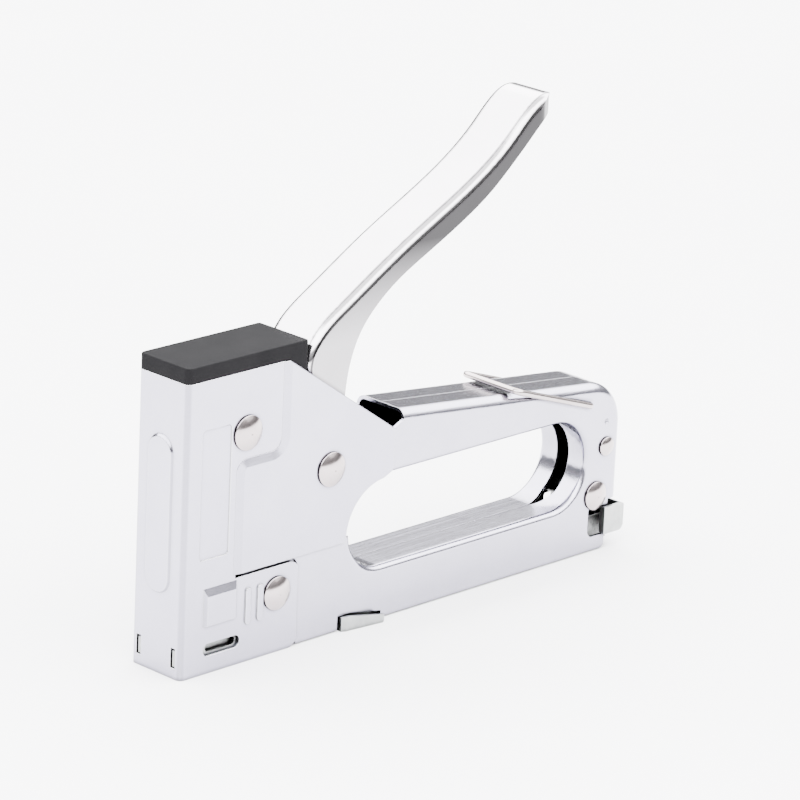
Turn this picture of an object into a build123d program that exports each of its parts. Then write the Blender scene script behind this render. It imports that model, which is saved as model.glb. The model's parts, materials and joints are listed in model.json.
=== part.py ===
from build123d import *
import math
import os

# Light-duty staple gun in plated sheet steel.  Millimetres.
# X runs from the nose to the rear, +Y is the right-hand side, Z is up.
# Inside this file x is counted from the front face of the nose; write() moves
# every solid so that the origin is the middle of the underside.

# ---- driving dimensions ---------------------------------------------------
LENGTH = 166.0            # nose face to the back of the magazine latch
SHEET = 1.0               # thickness of every pressed steel sheet
NOSE_HALF = 9.4           # nose box and its lower tabs, half of the outside width
WING_HALF = 10.0          # wings of the nose housing, stepped out over the frame
STEP_WIDTH = 2.4          # width of the sloped step between nose box and wings
FRAME_HALF = WING_HALF - SHEET   # pressed frame shells, outside
HANDLE_HALF = 8.8         # handle channel, outside
NOSE_TOP = 79.8           # top edge of the nose box
NOSE_CORNER = 1.7         # outside bend radius at the front of the nose
CAP_TOP = 84.0
FRAME_BOTTOM = 0.4
TAB_END = 41.0            # lower tab of the nose, rear end and top
TAB_TOP = 24.1
WING_BOTTOM = 25.2
STEP_X = (17.6, 33.2)     # upright parts of the step, below and above STEP_Z
STEP_Z = 56.2
PIVOT = (50.9, 47.0)      # handle pivot, x and z
HANDLE_TRAVEL = 44.0      # degrees from open to closed
LIFT_RADIUS = 19.0        # handle pivot to lift roller
ROLLER_RADIUS = 2.0
BAIL_PIVOT = (150.6, 43.9)
BAIL_BAR = (120.2, 54.1)
BAIL_WIRE = 1.8

# finger loop
LOOP_REAR = (138.2, 27.8)
LOOP_RADIUS = 12.7
LOOP_FLOOR = LOOP_REAR[1] - LOOP_RADIUS
LOOP_ROOF = LOOP_REAR[1] + LOOP_RADIUS
WING_ARC = (71.5, 26.2)
WING_ARC_RADIUS = 14.1

# upper bar: its top slopes down to the rear and rolls over a rear corner
BAR_FRONT = (78.3, 57.3)
BAR_SLOPE = math.radians(-6.15)
REAR_CORNER = (151.7, 36.3)
REAR_RADIUS = 13.0
BAR_ROLL = 2.9
LOOP_ROLL = 1.7

# rivets: x, z, head diameter, head height, shank radius, half width gripped
RIVETS = {
    "upper_nose_rivet": (21.1, 63.1, 9.4, 1.7, 2.2, NOSE_HALF),
    "lower_nose_rivet": (33.3, 16.6, 9.2, 1.7, 2.2, NOSE_HALF),
    "handle_pivot_rivet": (PIVOT[0], PIVOT[1], 9.4, 1.7, 2.5, WING_HALF),
    "rear_upper_rivet": (158.6, 30.3, 5.4, 1.2, 1.5, FRAME_HALF),
    "rear_lower_rivet": (155.2, 16.5, 8.2, 1.5, 2.2, FRAME_HALF),
}

# magazine
STAPLE_HALF = 5.65        # 11.3 mm crown
STAPLE_WIRE = 0.7
STAPLE_LEG = 8.0
RAIL_HALF = 4.8
RAIL_TOP = 8.4
RAIL_BOTTOM = 1.2
CHANNEL_INNER = 6.0
CHANNEL_SHEET = 0.8
STRIP_FRONT = 2.8
STRIP_REAR = 34.8
PUSHER_REAR = 47.0
ROD_HEIGHT = 5.2
LATCH_INNER = LENGTH - SHEET

# striker
BLADE_FRONT = 1.7
BLADE_SHEET = 0.8
BLOCK_HALF = 6.9
BLOCK_REAR = 26.0
BLOCK_BOTTOM = 18.0
BLOCK_TOP = 42.0
SPRING_X = 14.25
SPRING_BOTTOM = 22.0
SPRING_TOP = 58.6
SPRING_RADIUS = 5.6
GUIDE_INNER = 7.4         # half width the striker runs in
BEAD_HEIGHT = 0.6
BEAD_Z = 43.2
TAB_OFFSET = 6.5          # guide tabs in the front face, each side of the middle

FIT = 0.06                # running clearance of a pin in its hole


# ---- helpers --------------------------------------------------------------
def polygon(*points):
    return make_face(Polyline(*points, close=True))


def plate(face, y0, y1):
    """Solid between y0 and y1 whose side view, in x and z, is face."""
    return Pos(0, y1, 0) * extrude(Plane.XZ * face, y1 - y0)


def block(x0, x1, y0, y1, z0, z1):
    return Pos((x0 + x1) / 2, (y0 + y1) / 2, (z0 + z1) / 2) * Box(x1 - x0, y1 - y0, z1 - z0)


def cross_pin(x, z, radius, y0, y1):
    """Cylinder along Y."""
    return Pos(x, (y0 + y1) / 2, z) * Rot(90, 0, 0) * Cylinder(radius, y1 - y0)


def cylinder_along_x(radius, x0, x1):
    return Pos((x0 + x1) / 2, 0, 0) * Rot(0, 90, 0) * Cylinder(radius, x1 - x0)


def both_sides(shape):
    return shape + mirror(shape, Plane.XZ)


def round_corners(face, corners):
    """Fillet the vertices of a flat face that lie at the given points."""
    for (x, z), radius in corners:
        vertex = face.vertices().sort_by_distance((x, z, 0))[0]
        face = fillet(vertex, radius)
    return face


def coil(radius, wire, length, turns):
    """Closed ring stack that stands for a coil spring along Z, from z = 0."""
    pitch = length / turns
    inner = radius - wire
    groove = radius - wire / 3
    pieces = Curve()
    for turn in range(turns):
        z = turn * pitch
        pieces += ThreePointArc((groove, z), (radius, z + pitch / 2), (groove, z + pitch))
    section = pieces + Polyline((groove, length), (inner, length), (inner, 0), (groove, 0))
    return revolve(Plane.XZ * make_face(section), Axis.Z)


def bar_top(x):
    """Height of the upper bar's top face."""
    return BAR_FRONT[1] + (x - BAR_FRONT[0]) * math.tan(BAR_SLOPE)


def rear_arc(radius):
    """Points where the rolled rear corner starts, passes and meets the bar's top."""
    angles = (0.0, 45.0, 90.0 + math.degrees(BAR_SLOPE))
    cx, cz = REAR_CORNER
    return [
        (cx + radius * math.cos(math.radians(a)), cz + radius * math.sin(math.radians(a)))
        for a in angles
    ]


def rivet_holes(names):
    holes = []
    for name in names:
        x, z, _, _, shank, _ = RIVETS[name]
        holes.append(cross_pin(x, z, shank, -20, 20))
    return holes


# ---- nose -----------------------------------------------------------------
def box_outline():
    """Side view of the nose box and the tab at its foot."""
    face = polygon(
        (0, 0), (TAB_END, 0), (TAB_END, TAB_TOP), (22.0, TAB_TOP),
        (22.0, 52.0), (37.0, 52.0), (37.0, 77.0), (33.2, NOSE_TOP), (0, NOSE_TOP),
    )
    return round_corners(face, [((TAB_END, TAB_TOP), 3.0), ((TAB_END, 0), 3.0)])


def wing_outline():
    """Side view of the stepped-out wing that carries the handle pivot."""
    arc_start = (WING_ARC[0] - WING_ARC_RADIUS, WING_BOTTOM)
    arc_end = (70.6, 40.3)
    lines = Polyline(
        arc_end,
        (74.2, 41.9),
        (74.2, 53.25),
        (35.0, 79.7),
        (STEP_X[1], 79.7),
        (STEP_X[1], STEP_Z),
        (STEP_X[0], STEP_Z),
        (STEP_X[0], WING_BOTTOM),
        arc_start,
    )
    arc = ThreePointArc(arc_start, (61.4, 36.0), arc_end)
    corners = [
        ((74.2, 41.9), 1.5),
        ((74.2, 53.25), 0.6),
        ((STEP_X[1], STEP_Z), 3.5),
        ((STEP_X[0], STEP_Z), 3.6),
    ]
    return round_corners(make_face(lines + arc), corners)


def wing():
    """Right-hand wing, solid to the middle, with a sloped step along its free edge."""
    solid = plate(wing_outline(), 0, WING_HALF)
    outer = solid.faces().sort_by(Axis.Y)[-1]
    step = [
        e for e in outer.edges()
        if e.center().X < STEP_X[1] + 1.5 and e.center().Z > WING_BOTTOM + 1 and e.center().Z < 79
    ]
    return chamfer(step, STEP_WIDTH, WING_HALF - NOSE_HALF - 0.05, reference=outer)


def nose_housing():
    """Nose box, wings and lower tabs, folded from one sheet."""
    shell = plate(box_outline(), -NOSE_HALF, NOSE_HALF)
    front_edges = shell.edges().filter_by(Axis.Z).group_by(Axis.X)[0]
    shell = fillet(front_edges, NOSE_CORNER) + both_sides(wing())

    box_inside = NOSE_HALF - SHEET
    hollow = block(SHEET, 200, -box_inside, box_inside, -1, NOSE_TOP + 1)
    shell -= fillet(hollow.edges().filter_by(Axis.Z).group_by(Axis.X)[0], NOSE_CORNER - SHEET)
    wing_hollow = polygon(
        (STEP_X[0] + SHEET, TAB_TOP + 0.2),
        (200, TAB_TOP + 0.2),
        (200, 90),
        (STEP_X[1] + SHEET, 90),
        (STEP_X[1] + SHEET, STEP_Z - SHEET),
        (STEP_X[0] + SHEET, STEP_Z - SHEET),
    )
    shell -= plate(wing_hollow, SHEET - WING_HALF, WING_HALF - SHEET)

    # slit that frees the lower tab from the wing
    shell -= both_sides(block(STEP_X[0] + 0.8, 60, box_inside - 0.1, 12, TAB_TOP, WING_BOTTOM))

    # stiffening bead pressed out of the front face
    bead = Plane.YZ * Rot(0, 0, 90) * SlotOverall(41.7, 8.4)
    hollow_bead = Plane.YZ * Rot(0, 0, 90) * SlotOverall(40.6, 7.3)
    shell += Pos(-BEAD_HEIGHT, 0, BEAD_Z) * extrude(bead, BEAD_HEIGHT, taper=-45)
    shell -= Pos(SHEET - BEAD_HEIGHT, 0, BEAD_Z) * extrude(hollow_bead, SHEET)

    # slots for the guide's two front tabs
    for y in (-TAB_OFFSET, TAB_OFFSET):
        shell -= block(-1, SHEET + 0.01, y - 0.85, y + 0.85, 3.0, 8.4)

    # buffer boss with a sloped top, two ribs and the plain panel on each side
    skin = NOSE_HALF - 0.1
    boss = polygon((skin, 13.2), (skin + 1.0, 13.5), (skin + 1.0, 21.5), (skin, 23.8))
    boss = extrude(Plane.YZ * boss, 11.5)
    boss = chamfer(boss.edges().filter_by(Axis.Z).group_by(Axis.Y)[-1], 0.8)
    shell += both_sides(Pos(7.5, 0, 0) * boss)
    for x, width in ((23.1, 1.8), (27.4, 2.0)):
        rib = Pos(x, 15.5) * Rot(0, 0, 90) * SlotOverall(10.0, width)
        shell += both_sides(plate(rib, skin, skin + 0.5))
    panel = Pos(10.6, 49.0) * RectangleRounded(10.0, 35.0, 1.0)
    shell -= both_sides(plate(panel, NOSE_HALF - 0.25, 12))

    # staple window near the sole
    window = Pos(14.2, 6.6) * SlotOverall(12.8, 3.4)
    shell -= plate(window, -12, 12)

    for hole in rivet_holes(["upper_nose_rivet", "lower_nose_rivet", "handle_pivot_rivet"]):
        shell -= hole
    return shell


def top_cap():
    """Moulded cap that closes the nose box and follows the wings' slope."""
    side = polygon(
        (0, NOSE_TOP),
        (35.2, NOSE_TOP),
        (41.8, 75.35),
        (41.8, CAP_TOP),
        (0, CAP_TOP),
    )
    cap = plate(side, -NOSE_HALF, NOSE_HALF)
    uprights = cap.edges().filter_by(Axis.Z).sort_by(Axis.X)
    cap = fillet(uprights[:2], NOSE_CORNER)
    uprights = cap.edges().filter_by(Axis.Z).sort_by(Axis.X)
    cap = fillet(uprights[-2:], 0.9)
    cap = fillet(cap.faces().sort_by(Axis.Z)[-1].edges(), 0.4)
    plug_half = NOSE_HALF - SHEET - 0.4
    well_half = plug_half - 1.5
    plug = block(1.6, 32.5, -plug_half, plug_half, 76.5, NOSE_TOP)
    return cap + plug - block(2.8, 31.0, -well_half, well_half, 70, 82.0)


def driver_guide():
    """Folded guide behind the front face; two tabs show in the nose's front slots."""
    half = NOSE_HALF - SHEET
    outer = block(SHEET, 21.5, -half, half, 0.6, 21.0)
    outer = fillet(outer.edges().filter_by(Axis.Z).group_by(Axis.X)[0], 0.8)
    outer -= block(SHEET + 0.7, 30, -GUIDE_INNER, GUIDE_INNER, -1, 30)
    slot = Pos(14.6, 6.6) * SlotOverall(10.4, 2.2)
    outer -= plate(slot, -12, 12)
    for y in (-TAB_OFFSET, TAB_OFFSET):
        outer += block(0.35, SHEET + 0.2, y - 0.45, y + 0.45, 3.3, 7.7)
    return outer


def spring_seat():
    """Bracket on the upper rivet that the main spring pushes against."""
    half = NOSE_HALF - SHEET - 0.2
    seat = block(2.0, 23.6, -half, half, SPRING_TOP, SPRING_TOP + 1.5)
    seat += both_sides(block(15.0, 25.4, half - 1.2, half, SPRING_TOP, 67.0))
    seat += Pos(SPRING_X, 0, SPRING_TOP - 1.6) * Cylinder(3.5, 3.2)
    for hole in rivet_holes(["upper_nose_rivet"]):
        seat -= hole
    return seat


def main_spring():
    length = SPRING_TOP - SPRING_BOTTOM
    return Pos(SPRING_X, 0, SPRING_BOTTOM) * coil(SPRING_RADIUS, 1.8, length, 9)


def striker_bumper():
    """Rubber buffer that stops the striker."""
    pad = block(3.2, 21.5, -GUIDE_INNER, GUIDE_INNER, 13.2, BLOCK_BOTTOM - 0.1)
    return fillet(pad.edges().filter_by(Axis.Z), 1.0)


# ---- frame ----------------------------------------------------------------
def loop_opening():
    """Side view of the finger loop between the two bars."""
    floor_arc = (WING_ARC[0], LOOP_FLOOR + 11.4)
    middle = polygon(
        (WING_ARC[0], LOOP_FLOOR),
        (LOOP_REAR[0], LOOP_FLOOR),
        (LOOP_REAR[0], LOOP_ROOF),
        (WING_ARC[0], LOOP_ROOF),
    )
    front_top = Pos(*WING_ARC) * Circle(WING_ARC_RADIUS + 0.2)
    front_top &= polygon((50, 26), (WING_ARC[0], 26), (WING_ARC[0], 45), (50, 45))
    return middle + Pos(*LOOP_REAR) * Circle(LOOP_RADIUS) + Pos(*floor_arc) * Circle(11.4) + front_top


def frame_shell():
    """Right-hand pressed half of the frame, from y = 0 outward."""
    start, middle, end = rear_arc(REAR_RADIUS)
    rear_x = start[0]
    lines = Polyline(
        end,
        BAR_FRONT,
        (BAR_FRONT[0], 54.7),
        (75.0, 53.0),
        (63.0, 50.3),
        (59.1, 51.75),
    )
    pivot_ear = ThreePointArc((59.1, 51.75), (PIVOT[0], PIVOT[1] + 9.5), (PIVOT[0] - 9.5, PIVOT[1]))
    lower = Polyline(
        (PIVOT[0] - 9.5, PIVOT[1]),
        (38.0, 36.0),
        (22.0, 36.0),
        (22.0, FRAME_BOTTOM),
        (159.8, FRAME_BOTTOM),
        (159.8, 4.4),
        (rear_x, 4.4),
        start,
    )
    corner = ThreePointArc(start, middle, end)
    side = round_corners(make_face(lines + pivot_ear + lower + corner), [((159.8, FRAME_BOTTOM), 1.5)])
    shell = plate(side - loop_opening(), 0.1, FRAME_HALF)

    # rolled top edge and rear corner, then the rolled rim of the finger loop
    top_roll = [
        e for e in side_edges(shell)
        if e.center().X > 80 and e.center().Z > 40 and e.center().Z > bar_top(e.center().X) - 7
    ]
    shell = fillet(top_roll, BAR_ROLL)
    loop_roll = [
        e for e in side_edges(shell)
        if 61 < e.center().X < 152 and LOOP_FLOOR - 1 < e.center().Z < LOOP_ROOF + 1
    ]
    shell = fillet(loop_roll, LOOP_ROLL)

    shell -= frame_cavity()
    # the rims part around the rear of the loop
    gap = polygon((137.0, -0.1), (146.0, 2.2), (153.0, 2.2), (153.0, -0.1))
    shell -= Pos(0, 0, LOOP_FLOOR - 3) * extrude(gap, LOOP_ROOF - LOOP_FLOOR + 1)
    # the part under the nose's lower tab steps inward by the tab's own step
    tucked = NOSE_HALF - SHEET
    shell += block(22.0, TAB_END + 1.0, tucked - SHEET, tucked, FRAME_BOTTOM, WING_BOTTOM + 1.0)
    rear, top = TAB_END + 0.1, WING_BOTTOM + 0.2
    recess = polygon((21.0, -1), (rear, -1), (rear, top), (21.0, top))
    shell -= plate(round_corners(recess, [((rear, top), 4.0)]), tucked, 20)

    # notches for the magazine's ear and for the latch
    ear_notch = polygon((56.5, -1), (72.5, -1), (72.5, 2.3), (61.0, 4.2), (56.5, 4.2))
    shell -= plate(ear_notch, 0, 20)
    latch_notch = polygon(
        (152.9, 4.4), (170, 4.4), (170, 14.4), (160.6, 14.4), (160.6, 12.9), (152.9, 12.9)
    )
    latch_notch = round_corners(latch_notch, [((152.9, 4.4), 2.0), ((152.9, 12.9), 0.8)])
    shell -= plate(latch_notch, 0, 20)

    # bail hole and a small locating dimple
    shell -= cross_pin(*BAIL_PIVOT, BAIL_WIRE / 2 + FIT, 0, 20)
    shell -= Pos(158.3, FRAME_HALF + 0.45, 37.6) * Sphere(0.95)
    for hole in rivet_holes([name for name in RIVETS if name != "upper_nose_rivet"]):
        shell -= hole
    return shell


def side_edges(shape):
    """Edges of a half shell's flat outer side."""
    return shape.faces().sort_by(Axis.Y)[-1].edges()


def frame_cavity():
    """Inside of a half shell; what it leaves of the rims is one sheet thick."""
    start, middle, end = rear_arc(REAR_RADIUS - SHEET)
    drop = SHEET / math.cos(BAR_SLOPE)
    lines = Polyline(
        end,
        (70.0, bar_top(70.0) - drop),
        (66.0, 70.0),
        (10.0, 70.0),
        (10.0, -5.0),
        (start[0], -5.0),
        start,
    )
    side = make_face(lines + ThreePointArc(start, middle, end))
    rim_front = 67.0
    rim = Pos(*LOOP_REAR) * Circle(LOOP_RADIUS + SHEET)
    rim += polygon(
        (rim_front, LOOP_FLOOR - SHEET),
        (LOOP_REAR[0], LOOP_FLOOR - SHEET),
        (LOOP_REAR[0], LOOP_ROOF + SHEET),
        (rim_front, LOOP_ROOF + SHEET),
    )
    cavity = plate(side - rim, -1, FRAME_HALF - SHEET)
    inner_roll = [
        e for e in side_edges(cavity)
        if e.center().X > 80 and e.center().Z > 40 and e.center().Z > bar_top(e.center().X) - 8
    ]
    return fillet(inner_roll, BAR_ROLL - SHEET)


def rivet(name):
    """Shank and two domed heads."""
    x, z, head, height, shank, grip = RIVETS[name]
    rim = 0.5
    dome = height - rim
    sphere_radius = (head * head / 4 + dome * dome) / (2 * dome)
    cap_head = Pos(0, 0, height / 2) * Cylinder(head / 2, height)
    cap_head &= Pos(0, 0, height - sphere_radius) * Sphere(sphere_radius)
    cap_head = chamfer(cap_head.faces().sort_by(Axis.Z)[0].edges(), 0.2)
    outward = Pos(x, grip, z) * Rot(-90, 0, 0) * cap_head
    return both_sides(outward) + cross_pin(x, z, shank, -grip, grip)


def spacer_sleeves():
    """Two sleeves on the rear rivets that keep the shells apart."""
    inside = FRAME_HALF - SHEET
    sleeves = Part()
    for name, outer in (("rear_upper_rivet", 2.4), ("rear_lower_rivet", 3.2)):
        x, z, _, _, shank, _ = RIVETS[name]
        sleeves += cross_pin(x, z, outer, -inside, inside) - cross_pin(x, z, shank, -20, 20)
    return sleeves


# ---- handle ---------------------------------------------------------------
def handle_back():
    """Outer line of the handle's back, from its root to its tip."""
    return Spline(
        (43.4, 71.0),
        (42.6, 77.0),
        (45.8, 83.2),
        (56.1, 90.9),
        (76.1, 102.7),
        (91.3, 110.6),
        (105.8, 118.8),
        (115.3, 126.1),
        (122.2, 132.4),
        (127.4, 135.1),
        (132.6, 134.3),
    )


def handle_face():
    """Side view of the handle channel."""
    belly = Spline(
        (131.6, 130.4),
        (127.8, 129.3),
        (122.2, 124.8),
        (115.0, 118.3),
        (107.4, 112.1),
        (98.2, 106.4),
        (84.9, 99.6),
        (74.7, 94.4),
        (66.4, 88.4),
        (60.9, 82.2),
        (57.8, 75.4),
        (56.0, 61.5),
    )
    back = handle_back()
    face = make_face(back + Line(back @ 1, belly @ 0) + belly + Line(belly @ 1, back @ 0))
    tip = back @ 1
    return round_corners(face, [((tip.X, tip.Y), 1.8)])


def handle_hollow():
    """Side view of what is open under the handle's back."""
    back = handle_back()
    points = []
    for share in (0, 0.05, 0.1, 0.2, 0.35, 0.5, 0.65, 0.8, 0.9, 0.96):
        tangent = back % share
        points.append(back @ share + Vector(tangent.Y, -tangent.X) * SHEET)
    under = Spline(*points)
    below = Polyline(under @ 1, (131.1, 129.9), (131.1, 88.0), (60.0, 50.0), (44.5, 50.0), under @ 0)
    return make_face(under + below)


def handle_lever():
    """Inverted channel with a rolled back and a rounded tip."""
    face = handle_face()
    tip_x = 132.7
    body = plate(face, -HANDLE_HALF, HANDLE_HALF)
    longest = body.edges().sort_by(Edge.length)[-2:]
    body = fillet(longest, 2.6)
    plan = Pos(tip_x / 2, 0) * Rectangle(tip_x, 2 * HANDLE_HALF)
    plan = fillet(plan.vertices().group_by(Axis.X)[-1], 8.0)
    body &= extrude(plan, 160)

    inner_plan = Pos(tip_x / 2 - SHEET, 0) * Rectangle(tip_x, 2 * (HANDLE_HALF - SHEET))
    inner_plan = fillet(inner_plan.vertices().group_by(Axis.X)[-1], 7.0)
    cavity = plate(handle_hollow(), SHEET - HANDLE_HALF, HANDLE_HALF - SHEET) & extrude(inner_plan, 160)
    return body - cavity


def roller_centre():
    angle = math.radians(HANDLE_TRAVEL / 2)
    return PIVOT[0] - LIFT_RADIUS * math.cos(angle), PIVOT[1] - LIFT_RADIUS * math.sin(angle)


def lift_arm():
    """Two cheeks nested in the handle's root, joined by a web under its back."""
    rx, rz = roller_centre()
    cheek = polygon(
        (rx - 1.6, rz + 3.4),
        (44.8, 54.5),
        (44.6, 78.6),
        (50.0, 84.3),
        (59.5, 84.3),
        (56.4, 76.0),
        (55.4, 56.0),
        (57.2, 47.0),
        (rx + 1.6, rz - 3.4),
    )
    cheek += Pos(*PIVOT) * Circle(6.6)
    cheek += Pos(rx, rz) * Circle(3.7)
    outside = HANDLE_HALF - SHEET
    arm = plate(cheek, -outside, outside)
    web = polygon((44.6, 72.0), (44.6, 78.6), (50.0, 84.3), (51.2, 83.2), (45.9, 77.6), (45.9, 72.0))
    arm -= block(20, 80, SHEET - outside, outside - SHEET, 30, 100)
    arm += plate(web, -outside, outside)
    arm -= cross_pin(*PIVOT, RIVETS["handle_pivot_rivet"][4] + FIT, -20, 20)
    arm -= cross_pin(rx, rz, ROLLER_RADIUS, -20, 20)
    return arm


def pivot_bush():
    half = HANDLE_HALF - 2 * SHEET
    bore = RIVETS["handle_pivot_rivet"][4] + FIT
    return cross_pin(*PIVOT, 3.6, -half, half) - cross_pin(*PIVOT, bore, -20, 20)


def lift_roller():
    half = HANDLE_HALF - SHEET
    return cross_pin(*roller_centre(), ROLLER_RADIUS, -half, half)


def return_spring():
    """Torsion spring round the pivot bush: a long leg on the frame's rim, a short hooked one."""
    wound = Pos(PIVOT[0], 4.5, PIVOT[1]) * Rot(90, 0, 0) * coil(5.1, 1.2, 9.0, 7)
    radius = 0.6
    up = Pos(PIVOT[0] - 4.5, 3.8, PIVOT[1] + 4.5) * Cylinder(radius, 9)
    back = Pos(PIVOT[0] + 8.0, -3.8, PIVOT[1] - 4.5) * Rot(0, 90, 0) * Cylinder(radius, 16)
    return wound + up + back


# ---- striker --------------------------------------------------------------
def striker_block():
    """Plunger with a spring pocket and a yoke that the lift roller works in."""
    rx, rz = roller_centre()
    body = block(BLADE_FRONT + BLADE_SHEET, BLOCK_REAR, -BLOCK_HALF, BLOCK_HALF, BLOCK_BOTTOM, BLOCK_TOP)
    body = fillet(body.edges().filter_by(Axis.Z), 0.8)
    body += block(BLOCK_REAR - 2, rx + 3.4, -5.3, 5.3, rz - 4.8, rz + 5.0)
    half_slot = ROLLER_RADIUS + 0.22
    body -= block(rx - 4.6, rx + 10, -20, 20, rz - half_slot, rz + half_slot)
    depth = BLOCK_TOP - SPRING_BOTTOM + 10
    body -= Pos(SPRING_X, 0, SPRING_BOTTOM + depth / 2) * Cylinder(SPRING_RADIUS + 0.3, depth)
    return body


def driver_blade():
    return block(BLADE_FRONT, BLADE_FRONT + BLADE_SHEET, -STAPLE_HALF, STAPLE_HALF, 0.8, BLOCK_TOP - 4)


# ---- bail -----------------------------------------------------------------
def lock_bail():
    """Wire bail: two legs beside the upper bar, a cross bar over it and two hooked ends."""
    side = FRAME_HALF + BAIL_WIRE / 2 + 0.15
    px, pz = BAIL_PIVOT
    bx, bz = BAIL_BAR
    inner = FRAME_HALF - SHEET - 2.0
    route = FilletPolyline(
        (px, -inner, pz),
        (px, -side, pz),
        (bx, -side, bz),
        (bx, side, bz),
        (px, side, pz),
        (px, inner, pz),
        radius=(1.0, 1.6, 1.6, 1.0),
    )
    section = Plane(origin=(px, -inner, pz), z_dir=(0, -1, 0)) * Circle(BAIL_WIRE / 2)
    return sweep(section, path=route)


# ---- magazine -------------------------------------------------------------
def magazine_channel():
    """Channel in the foot of the frame that guides the staples; its ears show below."""
    outer = CHANNEL_INNER + CHANNEL_SHEET
    channel = block(BLADE_FRONT + 0.1, 150.0, -outer, outer, 0, 10.2)
    channel -= block(-5, 170, -CHANNEL_INNER, CHANNEL_INNER, CHANNEL_SHEET, 30)
    channel -= block(-5, 3.6, -CHANNEL_INNER, CHANNEL_INNER, -1, 5)
    # ear: a flange through the shell's notch with a lip that flares to the rear
    flare = [(57.2, 0.8), (58.6, 1.4), (70.8, 2.7), (71.8, 2.2)]
    outside = [(x, FRAME_HALF + y) for x, y in flare]
    inside = [(x, FRAME_HALF + y) for x, y in ((71.3, 1.5), (70.6, 1.8), (59.0, 0.5), (57.2, 0.1))]
    flange = polygon((57.2, outer), *outside, (71.8, outer))
    lip_solid = extrude(polygon(*outside, *inside), 4.0)
    slope = polygon((50, 4.0), (60, 4.0), (72.5, 2.0), (80, 2.0), (80, 10), (50, 10))
    lip_solid -= plate(slope, 0, 20)
    ear = extrude(flange, CHANNEL_SHEET) + lip_solid
    return channel + both_sides(ear)


def staple_strip():
    """A glued strip of staples, crowns up, that straddles the rail."""
    top = RAIL_TOP + 0.1 + STAPLE_WIRE
    strip = block(STRIP_FRONT, STRIP_REAR, -STAPLE_HALF, STAPLE_HALF, top - STAPLE_LEG, top)
    inner = STAPLE_HALF - STAPLE_WIRE
    return strip - block(0, 60, -inner, inner, -1, top - STAPLE_WIRE)


def magazine_rail():
    """Open-topped rail that carries the staples and draws out to the rear."""
    wall = 0.8
    rail = block(STRIP_FRONT, LATCH_INNER, -RAIL_HALF, RAIL_HALF, RAIL_BOTTOM, RAIL_TOP)
    rail -= block(STRIP_FRONT + 1.0, 200, wall - RAIL_HALF, RAIL_HALF - wall, RAIL_BOTTOM + wall, 20)
    return rail


def magazine_latch():
    """Clip folded round the rear of the frame; squeezing its ears frees the magazine."""
    low, high = 4.7, 12.6
    inner = FRAME_HALF + 0.4
    outer = inner + SHEET
    side = polygon((158.2, low), (LENGTH, low), (LENGTH, high), (158.2, high))
    side = round_corners(side, [((LENGTH, low), 1.8), ((LENGTH, high), 0.8)])
    latch = plate(side, -outer, outer)
    latch -= block(100, LATCH_INNER, -inner, inner, 0, 20)
    hook = block(158.2, 159.1, FRAME_HALF - 0.5, inner, low + 0.2, high - 0.3)
    return latch + both_sides(hook)


def pusher_rod():
    return Pos(0, 0, ROD_HEIGHT) * cylinder_along_x(1.0, STRIP_FRONT + 1.0, LATCH_INNER)


def staple_pusher():
    """Saddle on the rail with a tongue that runs on the rod."""
    front = STRIP_REAR + 0.2
    saddle = block(front, PUSHER_REAR, -STAPLE_HALF, STAPLE_HALF, RAIL_BOTTOM + 0.2, RAIL_TOP + 1.1)
    inside = RAIL_HALF + 0.12
    saddle -= block(front - 1, PUSHER_REAR + 1, -inside, inside, 0, RAIL_TOP + 0.15)
    tongue = block(front, PUSHER_REAR, -3.5, 3.5, RAIL_BOTTOM + 1.1, RAIL_TOP + 0.3)
    saddle += tongue
    return saddle - Pos(0, 0, ROD_HEIGHT) * cylinder_along_x(1.0 + FIT, front - 1, PUSHER_REAR + 1)


def pusher_spring():
    spring = cylinder_along_x(2.9, PUSHER_REAR, LATCH_INNER) - cylinder_along_x(1.6, 0, LENGTH + 5)
    return Pos(0, 0, ROD_HEIGHT) * spring


# ---- output ---------------------------------------------------------------
def write(name, shape):
    os.makedirs("parts", exist_ok=True)
    moved = Pos((BEAD_HEIGHT - LENGTH) / 2, 0, 0) * shape
    export_step(moved, "parts/" + name + ".step")


def main():
    for name in RIVETS:
        write(name, rivet(name))
    right = frame_shell()
    write("right_frame_shell", right)
    write("left_frame_shell", mirror(right, Plane.XZ))
    makers = [
        nose_housing, top_cap, driver_guide, spring_seat, main_spring, striker_bumper,
        spacer_sleeves, handle_lever, lift_arm, pivot_bush, lift_roller, return_spring,
        striker_block, driver_blade, lock_bail, magazine_channel, staple_strip,
        magazine_rail, magazine_latch, pusher_rod, staple_pusher, pusher_spring,
    ]
    for maker in makers:
        write(maker.__name__, maker())


if __name__ == "__main__":
    main()
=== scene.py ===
import json
import math

import bmesh
import bpy
from mathutils import Matrix, Vector

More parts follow.
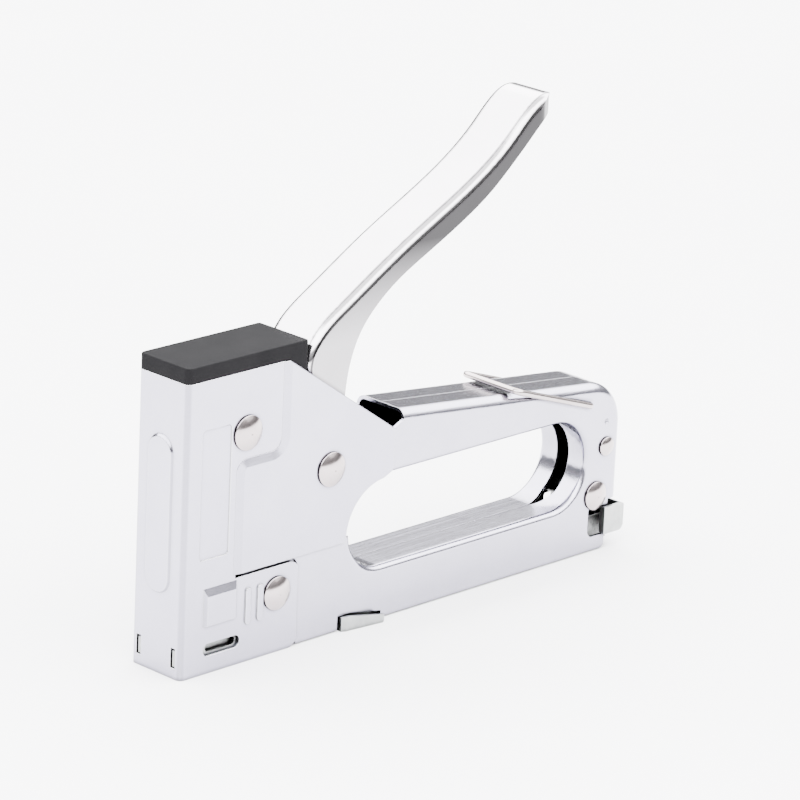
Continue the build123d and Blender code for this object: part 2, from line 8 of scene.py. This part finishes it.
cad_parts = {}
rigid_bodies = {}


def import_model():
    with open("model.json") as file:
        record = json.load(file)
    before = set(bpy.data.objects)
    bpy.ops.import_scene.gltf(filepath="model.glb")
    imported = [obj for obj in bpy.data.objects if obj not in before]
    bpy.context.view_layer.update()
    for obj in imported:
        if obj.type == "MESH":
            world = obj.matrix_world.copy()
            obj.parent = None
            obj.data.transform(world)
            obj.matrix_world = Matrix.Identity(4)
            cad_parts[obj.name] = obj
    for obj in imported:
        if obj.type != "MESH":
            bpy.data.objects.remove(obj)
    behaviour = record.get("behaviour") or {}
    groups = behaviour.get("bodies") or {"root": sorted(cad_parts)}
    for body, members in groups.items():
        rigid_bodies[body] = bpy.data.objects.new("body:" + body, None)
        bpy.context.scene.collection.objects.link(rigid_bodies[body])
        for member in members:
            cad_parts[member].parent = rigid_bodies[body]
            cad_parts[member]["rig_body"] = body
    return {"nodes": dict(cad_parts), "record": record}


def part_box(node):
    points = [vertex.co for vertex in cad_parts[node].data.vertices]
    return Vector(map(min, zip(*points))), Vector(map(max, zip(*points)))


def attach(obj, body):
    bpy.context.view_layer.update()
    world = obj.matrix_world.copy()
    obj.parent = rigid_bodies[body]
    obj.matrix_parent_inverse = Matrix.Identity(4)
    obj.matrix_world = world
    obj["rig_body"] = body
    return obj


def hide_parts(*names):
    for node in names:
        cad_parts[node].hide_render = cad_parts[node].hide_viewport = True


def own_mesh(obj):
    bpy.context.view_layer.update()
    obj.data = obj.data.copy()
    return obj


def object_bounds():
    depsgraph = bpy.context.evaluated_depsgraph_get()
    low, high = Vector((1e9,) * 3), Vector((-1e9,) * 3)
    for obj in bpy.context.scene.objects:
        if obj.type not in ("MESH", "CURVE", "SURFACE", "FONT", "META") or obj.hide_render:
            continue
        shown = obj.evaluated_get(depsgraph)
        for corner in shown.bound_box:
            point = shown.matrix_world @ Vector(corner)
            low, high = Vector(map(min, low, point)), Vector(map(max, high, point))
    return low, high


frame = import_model()
cad_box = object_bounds()
NODES = frame["nodes"]
MM = 0.001
MAIN_WIRE = 1.3 * MM          # wire diameters of the springs
PUSHER_WIRE = 0.55 * MM
RETURN_WIRE = 1.1 * MM
INSIDE_REACH = 34.0           # mm of open room below which an inside is painted dark as shade
INSIDE_SHADE = (0.006, 0.006, 0.007)  # painted shade colour of an unlit inside
FLANK_REFLECTION_BANDS = (               # painted reflection bands: grey levels across a rolled channel, from its near side to its far side
    (0.0, 1.0), (0.025, 0.9), (0.045, 0.08), (0.07, 0.12), (0.12, 1.0), (0.34, 1.0), (0.39, 0.22),
    (0.43, 0.4), (0.47, 1.0), (0.54, 1.0), (0.6, 0.3), (0.68, 0.06), (0.96, 0.06), (1.0, 0.7),
)
ROOM_BANDS = (                # grey levels of the room, from the horizon to straight up
    (0.0, 0.04), (0.1, 0.02), (0.2, 0.05), (0.36, 0.075), (0.47, 0.9), (0.55, 1.0), (0.86, 1.0),
    (0.95, 0.3),
)
ROOM_STRENGTH = 14.0
CAMERA_PLACE = (-0.8365, -0.8206, 0.4459)
CAMERA_ANGLES = (-45.645, 18.365, 2.616)    # degrees: azimuth, elevation, roll
CAMERA_LENS = 209.47
FLOOR_HALF = 6.0


def rgba(r, g, b):
    return (r, g, b, 1.0)


def new_object(name, data):
    thing = bpy.data.objects.new(name, data)
    bpy.context.scene.collection.objects.link(thing)
    return thing


# ---- node helpers ---------------------------------------------------------
class Tree:
    """Short ways to add and join shader nodes."""

    def __init__(self, node_tree):
        self.tree = node_tree
        self.tree.nodes.clear()

    def add(self, kind, inputs=None, **settings):
        node = self.tree.nodes.new(kind)
        for key, value in settings.items():
            setattr(node, key, value)
        for key, value in (inputs or {}).items():
            self.put(node.inputs[key], value)
        return node

    def put(self, socket, value):
        """Joins value to the socket if it is an output, or else sets it there."""
        if isinstance(value, bpy.types.NodeSocket):
            self.tree.links.new(value, socket)
        else:
            socket.default_value = value

    def math(self, operation, a, b=0.0, clamp=False):
        return self.add("ShaderNodeMath", {0: a, 1: b}, operation=operation, use_clamp=clamp).outputs[0]

    def millimetres(self, scale=(1, 1, 1), turn=(0, 0, 0)):
        """Object coordinates in millimetres, stretched by scale and turned."""
        source = self.add("ShaderNodeTexCoord").outputs["Object"]
        inputs = {"Vector": source, "Scale": [s / MM for s in scale], "Rotation": turn}
        return self.add("ShaderNodeMapping", inputs).outputs[0]

    def noise(self, vector, scale, detail=3.0, roughness=0.5):
        inputs = {"Vector": vector, "Scale": scale, "Detail": detail, "Roughness": roughness}
        return self.add("ShaderNodeTexNoise", inputs).outputs["Fac"]

    def spread(self, value, low, high, start=0.3, end=0.7):
        """Maps start..end to low..high."""
        inputs = {"Value": value, "From Min": start, "From Max": end, "To Min": low, "To Max": high}
        return self.add("ShaderNodeMapRange", inputs, clamp=True).outputs[0]

    def mix(self, factor, a, b, blend="MIX"):
        """Colour a towards colour b by factor."""
        node = self.add("ShaderNodeMix", data_type="RGBA", blend_type=blend)
        for index, value in ((0, factor), (6, a), (7, b)):
            self.put(node.inputs[index], value)
        return node.outputs[2]

    def times(self, tone, factor):
        """Colour tone multiplied by a single number."""
        grey = self.add("ShaderNodeCombineXYZ", {0: factor, 1: factor, 2: factor}).outputs[0]
        return self.mix(1.0, tone, grey, blend="MULTIPLY")

    def ramp(self, position, bands, blue=1.0):
        """Grey levels along position, from (place, level) pairs; blue tints them."""
        node = self.add("ShaderNodeValToRGB", {0: position})
        elements = node.color_ramp.elements
        while len(elements) < len(bands):
            elements.new(1.0)
        for element, (place, level) in zip(elements, bands):
            element.position = place
            element.color = rgba(level, level, level * blue)
        return node.outputs[0]

    def edge_mask(self, radius):
        """The rounded normal, and a mask: 1 on sharp edges, 0 on flat and gently curved faces."""
        rounded = self.add("ShaderNodeBevel", {"Radius": radius * MM}, samples=6).outputs[0]
        plain = self.add("ShaderNodeNewGeometry").outputs["Normal"]
        product = self.add("ShaderNodeVectorMath", {0: rounded, 1: plain}, operation="DOT_PRODUCT")
        return rounded, self.spread(product.outputs["Value"], 1.0, 0.0, 0.75, 0.995)

    def edge_wear_and_highlight(self, tone, edges, amount, edge_colour):
        """Lightens the edges towards the edge colour: partly real wear, partly a painted highlight."""
        return self.mix(self.math("MULTIPLY", edges, amount), tone, rgba(*edge_colour))

    def painted_shade(self, tone, reach=INSIDE_REACH, dark=INSIDE_SHADE):
        """Painted shade: darkens enclosed insides, and more lightly the creases, where little light
        reaches.
        """
        room = self.add("ShaderNodeAmbientOcclusion", {"Distance": reach * MM}, samples=6).outputs["AO"]
        tone = self.mix(self.spread(room, 1.0, 0.0, 0.2, 0.42), tone, rgba(*dark))
        crease = self.add("ShaderNodeAmbientOcclusion", {"Distance": 1.3 * MM}, samples=6).outputs["AO"]
        return self.mix(self.spread(crease, 0.75, 0.0, 0.45, 0.97), tone, rgba(*dark))

    def object_normal(self):
        """x, y and z of the object's own normal."""
        normal = self.add("ShaderNodeTexCoord").outputs["Normal"]
        return self.add("ShaderNodeSeparateXYZ", {0: normal}).outputs

    def flank_shade(self, tone, low, high, z_low, z_high):
        """Paints shade and reflection bands on a channel's rolled edges, and paints shade on its sides
        from low at z_low mm to high at z_high mm.
        """
        across = self.object_normal()[1]
        side = self.spread(self.math("ABSOLUTE", across), 0.0, 1.0, 0.88, 0.985)
        place = self.add("ShaderNodeTexCoord").outputs["Object"]
        height = self.add("ShaderNodeSeparateXYZ", {0: place}).outputs[2]
        level = self.spread(height, low, high, z_low * MM, z_high * MM)
        factor = self.math("ADD", self.math("MULTIPLY", side, self.math("SUBTRACT", level, 1.0)), 1.0)
        position = self.math("ADD", self.math("MULTIPLY", across, 0.5), 0.5)
        return self.times(self.times(tone, factor), self.ramp(position, FLANK_REFLECTION_BANDS))

    def painted_corner_shade(self, tone, strength):
        """Painted shade: darkens the folded upright corners between two faces, in place of their
        reflection.
        """
        normal = self.object_normal()
        corner_shade = self.math("ABSOLUTE", self.math("MULTIPLY", normal[0], normal[1]))
        return self.times(tone, self.spread(corner_shade, 1.0, strength, 0.1, 0.4))

    def bump(self, height, strength, distance, normal):
        inputs = {"Height": height, "Strength": strength, "Distance": distance * MM, "Normal": normal}
        return self.add("ShaderNodeBump", inputs).outputs[0]

    def finish(self, tone, roughness, **inputs):
        inputs.update({"Base Color": tone, "Roughness": roughness})
        shader = self.add("ShaderNodeBsdfPrincipled", inputs)
        self.add("ShaderNodeOutputMaterial", {"Surface": shader.outputs[0]})


def new_tree(name):
    material = bpy.data.materials.new(name)
    material.use_nodes = True
    return material, Tree(material.node_tree)


# ---- materials ------------------------------------------------------------
def plated_steel(
    name, colour, dull, rough, grain, wave, streaks, edge=0.25, wear_highlight_amount=0.4, reach=INSIDE_REACH,
    flank_shade=None, corner_shade=None, top_shade=None,
):
    """Bright plating: a faint rolled grain, soft waves, hazy patches, edges lightened partly as wear and
    partly as painted highlight, and painted shade in insides and creases.

    The flank, corner and top settings paint shade and reflection bands on a channel's flanks, on the
    folded corners and on the faces that look up."""
    material, t = new_tree(name)
    along = t.millimetres(scale=(0.12, 1.0, 2.4))
    fine = t.noise(along, 3.0, 5.0, 0.65)
    plain = t.millimetres()
    cloud = t.noise(plain, 0.07, 4.0, 0.6)
    speck = t.noise(plain, 1.4, 6.0, 0.7)
    rounded, edges = t.edge_mask(edge)
    haze = t.math("ADD", t.math("MULTIPLY", cloud, 0.6), t.math("MULTIPLY", speck, 0.4))
    tone = t.mix(t.spread(haze, 0.0, 1.0, 0.35, 0.65), rgba(*colour), rgba(*dull))
    # painted shade and painted reflection bands on a channel's flanks, and painted shade on the folded
    # corners
    if flank_shade:
        tone = t.flank_shade(tone, *flank_shade)
    if corner_shade:
        tone = t.painted_corner_shade(tone, corner_shade)
    # painted shade: faces that look up are made darker
    if top_shade:
        tone = t.times(tone, t.spread(t.object_normal()[2], 1.0, top_shade, 0.9, 0.99))
    # edges lightened partly as wear and partly as painted highlight, then painted shade in insides and
    # creases
    tone = t.painted_shade(t.edge_wear_and_highlight(tone, edges, wear_highlight_amount, (0.9, 0.89, 0.91)), reach)
    streak = t.spread(fine, rough * 0.75, rough * 1.35, 0.25, 0.75)
    roughness = t.math("ADD", streak, t.spread(speck, 0.0, rough * 0.35, 0.45, 0.7))
    roughness = t.math("ADD", roughness, t.math("MULTIPLY", edges, 0.08), clamp=True)
    swell = t.bump(t.noise(plain, 0.11, 2.0, 0.4), wave, 0.25, rounded)
    rolled = t.noise(t.millimetres(scale=(0.02, 0.75, 0.75)), 1.0, 3.0, 0.55)
    swell = t.bump(rolled, streaks, 0.05, swell)
    t.finish(tone, roughness, Metallic=1.0, Normal=t.bump(fine, grain, 0.012, swell))
    return material


def zinc_steel():
    """Pale satin zinc with a cool bloom."""
    material, t = new_tree("satin_zinc")
    plain = t.millimetres()
    bloom = t.noise(plain, 0.5, 6.0, 0.65)
    grain = t.noise(t.millimetres(scale=(0.2, 1.5, 1.5)), 4.0, 4.0, 0.6)
    rounded, edges = t.edge_mask(0.2)
    tone = t.mix(t.spread(bloom, 0.0, 1.0), rgba(0.40, 0.41, 0.405), rgba(0.33, 0.34, 0.335))
    # edges lightened partly as wear and partly as painted highlight, then painted shade in insides and
    # creases
    tone = t.painted_shade(t.edge_wear_and_highlight(tone, edges, 0.4, (0.7, 0.7, 0.7)), dark=(0.008, 0.008, 0.008))
    roughness = t.math("ADD", t.spread(bloom, 0.26, 0.42), t.math("MULTIPLY", grain, 0.06))
    t.finish(tone, roughness, Metallic=1.0, Normal=t.bump(grain, 0.3, 0.02, rounded))
    return material


def ground_steel(name, light, dark, rough):
    """Darker ground or oiled steel with machining marks and oil stains."""
    material, t = new_tree(name)
    marks = t.noise(t.millimetres(scale=(3.0, 0.25, 0.25)), 3.0, 3.0, 0.6)
    stain = t.noise(t.millimetres(), 0.35, 5.0, 0.6)
    rounded, edges = t.edge_mask(0.15)
    tone = t.mix(t.spread(stain, 0.0, 1.0), rgba(*light), rgba(*dark))
    # edges lightened partly as wear and partly as painted highlight, then painted shade in insides and
    # creases
    tone = t.painted_shade(t.edge_wear_and_highlight(tone, edges, 0.5, (0.7, 0.7, 0.7)))
    roughness = t.math("ADD", t.spread(stain, rough, rough + 0.18), t.math("MULTIPLY", marks, 0.08))
    t.finish(tone, roughness, Metallic=1.0, Normal=t.bump(marks, 0.35, 0.02, rounded))
    return material


def moulded_cap():
    """Dark grey moulded plastic: spark-eroded texture, light scuffs, and edges lightened partly as wear
    and partly as painted highlight.
    """
    material, t = new_tree("dark_moulded_plastic")
    plain = t.millimetres()
    pebble = t.noise(plain, 4.5, 4.0, 0.55)
    cloud = t.noise(plain, 0.12, 3.0, 0.5)
    scuff = t.noise(t.millimetres(scale=(0.3, 1.6, 1.0), turn=(0, 0, 0.5)), 1.2, 6.0, 0.75)
    rounded, edges = t.edge_mask(0.3)
    tone = t.mix(t.spread(cloud, 0.0, 1.0), rgba(0.0052, 0.0051, 0.0056), rgba(0.0068, 0.0066, 0.0072))
    tone = t.mix(t.spread(scuff, 0.0, 0.35, 0.62, 0.8), tone, rgba(0.012, 0.012, 0.013))
    tone = t.edge_wear_and_highlight(tone, edges, 0.45, (0.02, 0.02, 0.021))
    roughness = t.math("ADD", t.spread(pebble, 0.58, 0.7), t.spread(scuff, 0.0, -0.06, 0.6, 0.8))
    normal = t.bump(pebble, 0.35, 0.03, rounded)
    t.finish(tone, roughness, **{"Normal": normal, "Specular IOR Level": 0.03})
    return material


def buffer_rubber():
    """Black rubber with pale dust on it."""
    material, t = new_tree("buffer_rubber")
    dust = t.noise(t.millimetres(), 1.1, 6.0, 0.7)
    rounded, edges = t.edge_mask(0.3)
    tone = t.mix(t.spread(dust, 0.0, 1.0, 0.4, 0.75), rgba(0.022, 0.022, 0.023), rgba(0.06, 0.058, 0.055))
    tone = t.edge_wear_and_highlight(tone, edges, 0.3, (0.1, 0.1, 0.1))
    t.finish(tone, t.spread(dust, 0.7, 0.9), Normal=t.bump(dust, 0.4, 0.05, rounded))
    return material


def studio_floor():
    """White paper, very slightly uneven in tone."""
    material, t = new_tree("studio_floor")
    mottle = t.noise(t.millimetres(), 0.01, 3.0, 0.5)
    tone = t.mix(t.spread(mottle, 0.0, 1.0), rgba(0.86, 0.86, 0.865), rgba(0.84, 0.84, 0.845))
    t.finish(tone, 0.9, **{"Specular IOR Level": 0.1})
    return material


# The housing paints shade on its folded corners, the frame on faces that look up, and the handle paints
# shade and reflection bands on its flanks; every finish lightens edges partly as wear and partly as
# painted highlight.
FINISH = {
    "housing_steel": plated_steel(
        "plated_housing", (0.414, 0.404, 0.48), (0.374, 0.364, 0.436),
        rough=0.14, grain=0.3, wave=0.1, streaks=0.1, edge=0.45, wear_highlight_amount=0.75, corner_shade=0.7),
    "frame_steel": plated_steel(
        "plated_frame", (0.414, 0.404, 0.475), (0.374, 0.364, 0.43),
        rough=0.16, grain=0.3, wave=0.1, streaks=0.75, top_shade=0.72),
    "handle_steel": plated_steel(
        "plated_handle", (0.62, 0.60, 0.62), (0.57, 0.55, 0.57),
        rough=0.1, grain=0.15, wave=0.05, streaks=0.1, reach=9.0, flank_shade=(0.54, 0.055, 80, 103)),
    "rivet_nickel": plated_steel(
        "polished_rivet", (0.46, 0.405, 0.405), (0.38, 0.33, 0.33),
        rough=0.14, grain=0.2, wave=0.05, streaks=0.0),
    "bail_wire": plated_steel(
        "polished_wire", (0.46, 0.41, 0.405), (0.38, 0.335, 0.33),
        rough=0.13, grain=0.2, wave=0.05, streaks=0.0),
    "zinc_steel": zinc_steel(),
    "tool_steel": ground_steel("ground_tool_steel", (0.5, 0.5, 0.52), (0.3, 0.295, 0.29), 0.28),
    "spring_steel": ground_steel("oiled_spring_steel", (0.36, 0.36, 0.37), (0.2, 0.195, 0.19), 0.3),
    "staple_wire": ground_steel("galvanised_staples", (0.74, 0.74, 0.76), (0.6, 0.6, 0.62), 0.3),
    "cap_plastic": moulded_cap(),
    "buffer_rubber": buffer_rubber(),
}
SLOT_OF = {part["node"]: part["material_slot"] for part in frame["record"]["subparts"]}

for node_name, node in NODES.items():
    node.data.materials.clear()
    node.data.materials.append(FINISH[SLOT_OF[node_name]])


# ---- mesh pieces that stand for CAD nodes ---------------------------------
def mesh_object(name, builder, node_name, smooth=True):
    """A piece made by builder(bm) that stands for a CAD node and rides on its body."""
    mesh = bpy.data.meshes.new(name)
    bm = bmesh.new()
    builder(bm)
    bmesh.ops.recalc_face_normals(bm, faces=bm.faces)
    for face in bm.faces:
        face.smooth = smooth
    bm.to_mesh(mesh)
    bm.free()
    piece = new_object(name, mesh)
    mesh.materials.append(FINISH[SLOT_OF[node_name]])
    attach(piece, NODES[node_name]["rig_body"])
    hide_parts(node_name)
    return piece


def sweep_wire(bm, points, radius, sides=12):
    """Round wire along points, with flat closed ends."""
    rings = []
    side = None
    for i, point in enumerate(points):
        ahead = points[min(i + 1, len(points) - 1)]
        behind = points[max(i - 1, 0)]
        tangent = (ahead - behind).normalized()
        if side is None:
            side = tangent.orthogonal().normalized()
        side = (side - tangent * side.dot(tangent)).normalized()
        up = tangent.cross(side)
        ring = []
        for k in range(sides):
            angle = 2 * math.pi * k / sides
            ring.append(bm.verts.new(point + (side * math.cos(angle) + up * math.sin(angle)) * radius))
        rings.append(ring)
    for one, two in zip(rings, rings[1:]):
        for k in range(sides):
            bm.faces.new((one[k], one[(k + 1) % sides], two[(k + 1) % sides], two[k]))
    bm.faces.new(rings[0])
    bm.faces.new(list(reversed(rings[-1])))


def helix(centre, axis, radius, wire, length, turns, closed_turns, steps=28):
    """Points of a coil that starts at centre and runs length along axis; its end turns lie flat."""
    axis = Vector(axis).normalized()
    u = axis.orthogonal().normalized()
    v = axis.cross(u)
    total = int(turns * steps)
    free = length - wire - 2 * closed_turns * wire
    open_turns = turns - 2 * closed_turns
    points = []
    for i in range(total + 1):
        turn = i / steps
        if turn < closed_turns:
            height = turn * wire
        elif turn > turns - closed_turns:
            height = length - wire - (turns - turn) * wire
        else:
            height = closed_turns * wire + (turn - closed_turns) / open_turns * free
        angle = 2 * math.pi * turn
        offset = u * math.cos(angle) + v * math.sin(angle)
        points.append(Vector(centre) + axis * (height + wire / 2) + offset * (radius - wire / 2))
    return points


def middle_of(node_name):
    low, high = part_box(node_name)
    return (low + high) / 2


def main_spring():
    low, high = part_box("main_spring")
    centre = middle_of("main_spring")
    foot = Vector((centre.x, centre.y, low.z))
    length = high.z - low.z
    coil = helix(foot, (0, 0, 1), (high.x - low.x) / 2, MAIN_WIRE, length, turns=8.5, closed_turns=1)
    piece = mesh_object("main_coil", lambda bm: sweep_wire(bm, coil, MAIN_WIRE / 2), "main_spring")
    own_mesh(piece)


def pusher_spring():
    low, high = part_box("pusher_spring")
    centre = middle_of("pusher_spring")
    start = Vector((low.x, centre.y, centre.z))
    length = high.x - low.x
    coil = helix(
        start, (1, 0, 0), (high.z - low.z) / 2, PUSHER_WIRE, length, turns=46, closed_turns=2, steps=18)
    piece = mesh_object(
        "pusher_coil", lambda bm: sweep_wire(bm, coil, PUSHER_WIRE / 2, sides=8), "pusher_spring")
    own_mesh(piece)


def return_spring():
    """A coil round the pivot, with a long leg to the rear and a short hook upwards."""
    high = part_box("return_spring")[1]
    axis_at = middle_of("pivot_bush")
    half_width = 4.3 * MM
    start = (axis_at.x, -half_width, axis_at.z)
    coil = helix(start, (0, 1, 0), 5.1 * MM, RETURN_WIRE, 2 * half_width, turns=7.25, closed_turns=0)
    out = 4.5 * MM                # from the pivot to the middle of each leg
    short = 0.2 * MM              # each leg ends this far inside the spring's box
    leg_z = axis_at.z - out
    leg = [
        Vector((high.x - short, coil[0].y, leg_z)),
        Vector((axis_at.x + 1.0 * MM, coil[0].y, leg_z)),
    ]
    hook = [
        Vector((axis_at.x - out, coil[-1].y, axis_at.z)),
        Vector((axis_at.x - out, coil[-1].y, high.z - short)),
    ]

    def build(bm):
        for path in (coil, leg, hook):
            sweep_wire(bm, path, RETURN_WIRE / 2)

    mesh_object("return_coil", build, "return_spring")


def staple_strip():
    """Separate staples stuck side by side, each an arch of flattened wire."""
    low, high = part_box("staple_strip")
    pitch, wire, thick, corner = (size * MM for size in (0.53, 0.47, 0.62, 0.5))
    count = int((high.x - low.x) / pitch)
    side, foot, crown = high.y, low.z, high.z
    inner = side - thick
    outline = [
        (-side, foot), (-side, crown - corner), (-side + corner, crown),
        (side - corner, crown), (side, crown - corner), (side, foot),
        (inner, foot), (inner, crown - thick), (-inner, crown - thick), (-inner, foot),
    ]

    def build(bm):
        for i in range(count):
            x = low.x + i * pitch
            front = [bm.verts.new((x, y, z)) for y, z in outline]
            back = [bm.verts.new((x + wire, y, z)) for y, z in outline]
            for k in range(len(outline)):
                bm.faces.new((front[k - 1], front[k], back[k], back[k - 1]))
            bm.faces.new(front)
            bm.faces.new(list(reversed(back)))

    piece = mesh_object("staples", build, "staple_strip", smooth=False)
    bevel = piece.modifiers.new("soft_edges", "BEVEL")
    bevel.width = 0.09 * MM
    bevel.segments = 1


main_spring()
pusher_spring()
return_spring()
staple_strip()


# ---- studio ---------------------------------------------------------------
def add_floor():
    mesh = bpy.data.meshes.new("studio_floor")
    corners = [(FLOOR_HALF * x, FLOOR_HALF * y, 0) for x, y in ((-1, -1), (1, -1), (1, 1), (-1, 1))]
    mesh.from_pydata(corners, [], [(0, 1, 2, 3)])
    mesh.materials.append(studio_floor())
    floor = new_object("studio_floor", mesh)
    floor.location.z = cad_box[0].z


def add_softbox(name, place, target, size, power):
    data = bpy.data.lights.new(name, "AREA")
    data.shape = "RECTANGLE"
    data.size, data.size_y = size
    data.energy = power
    light = new_object(name, data)
    light.location = place
    light.rotation_mode = "QUATERNION"
    light.rotation_quaternion = (Vector(target) - Vector(place)).to_track_quat("-Z", "Y")


def add_world():
    """White room with a grey band near the horizon, which gives plated edges their dark lines."""
    world = bpy.data.worlds.new("studio")
    bpy.context.scene.world = world
    world.use_nodes = True
    t = Tree(world.node_tree)
    direction = t.add("ShaderNodeTexCoord").outputs["Generated"]
    height = t.add("ShaderNodeSeparateXYZ", {0: direction}).outputs[2]
    sky = t.ramp(height, ROOM_BANDS, blue=1.01)
    background = t.add("ShaderNodeBackground", {"Color": sky, "Strength": ROOM_STRENGTH})
    t.add("ShaderNodeOutputWorld", {"Surface": background.outputs[0]})


def add_camera():
    azimuth, elevation, roll = (math.radians(angle) for angle in CAMERA_ANGLES)
    back = Vector((
        math.sin(azimuth) * math.cos(elevation),
        -math.cos(azimuth) * math.cos(elevation),
        math.sin(elevation),
    ))
    level = Vector((math.cos(azimuth), math.sin(azimuth), 0))
    upright = back.cross(level)
    right = level * math.cos(roll) + upright * math.sin(roll)
    up = upright * math.cos(roll) - level * math.sin(roll)
    data = bpy.data.cameras.new("camera")
    data.sensor_width = 36.0
    data.lens = CAMERA_LENS
    data.clip_start, data.clip_end = 0.05, 50.0
    turn = Matrix((right, up, back)).transposed().to_4x4()
    camera = new_object("camera", data)
    camera.matrix_world = Matrix.Translation(CAMERA_PLACE) @ turn
    bpy.context.scene.camera = camera


add_floor()
add_softbox("key_softbox", (-0.9, -0.6, 1.6), (0, 0, 0.04), (1.2, 1.2), 10)
add_softbox("fill_softbox", (1.2, -1.4, 0.9), (0, 0, 0.05), (1.0, 0.7), 4)
add_softbox("back_softbox", (0.9, 1.3, 1.2), (0, 0, 0.05), (1.4, 0.8), 8)
add_world()
add_camera()
